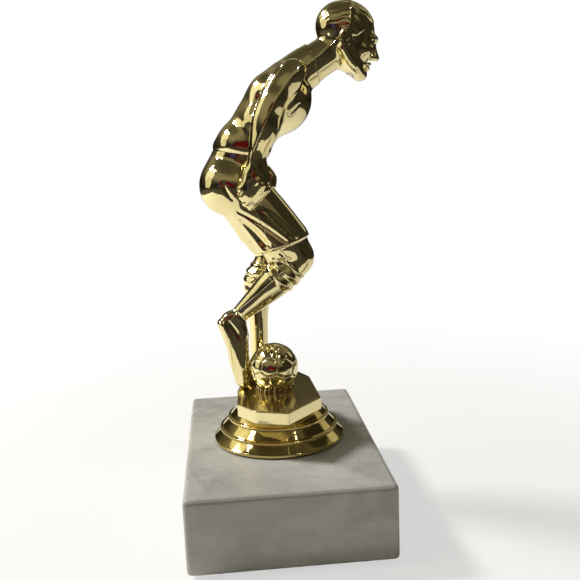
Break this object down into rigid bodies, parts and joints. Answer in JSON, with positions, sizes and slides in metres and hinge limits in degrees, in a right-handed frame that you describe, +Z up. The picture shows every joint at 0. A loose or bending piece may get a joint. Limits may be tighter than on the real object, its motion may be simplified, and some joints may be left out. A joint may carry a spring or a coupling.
{
  "type": "figure trophy",
  "caption": "Award with a metallised footballer and ball on a stepped round foot, moulded in two halves and bolted through a rectangular marble block.",
  "frame": {"origin": "centre of the threaded rod's lower end, level with the marble block's underside at its middle", "axes": "+Z up, +X the way the figure faces, +Y the figure's left, along the block's long side"},
  "size_m": [0.0569, 0.0762, 0.1361],
  "materials": {
    "gilt": "vacuum-metallised mirror, pale champagne gold",
    "marble": "polished white marble with soft grey veins",
    "zinc": "zinc-plated",
    "felt": "dark green felt"
  },
  "bodies": {
    "base": {"marble_base": "marble", "felt_pad_front_right": "felt", "felt_pad_front_left": "felt", "felt_pad_back_right": "felt", "felt_pad_back_left": "felt"},
    "figure": {"figure_front_shell": "gilt", "figure_back_shell": "gilt", "captive_nut": "zinc", "threaded_rod": "zinc", "flat_washer": "zinc", "lock_washer": "zinc", "hex_nut": "zinc"}
  },
  "joints": [
    {"name": "figure_swivel", "type": "hinge", "parent": "base", "child": "figure", "pos_m": [0, 0, 0.01905], "axis": [0, 0, 1], "continuous": true}
  ]
}
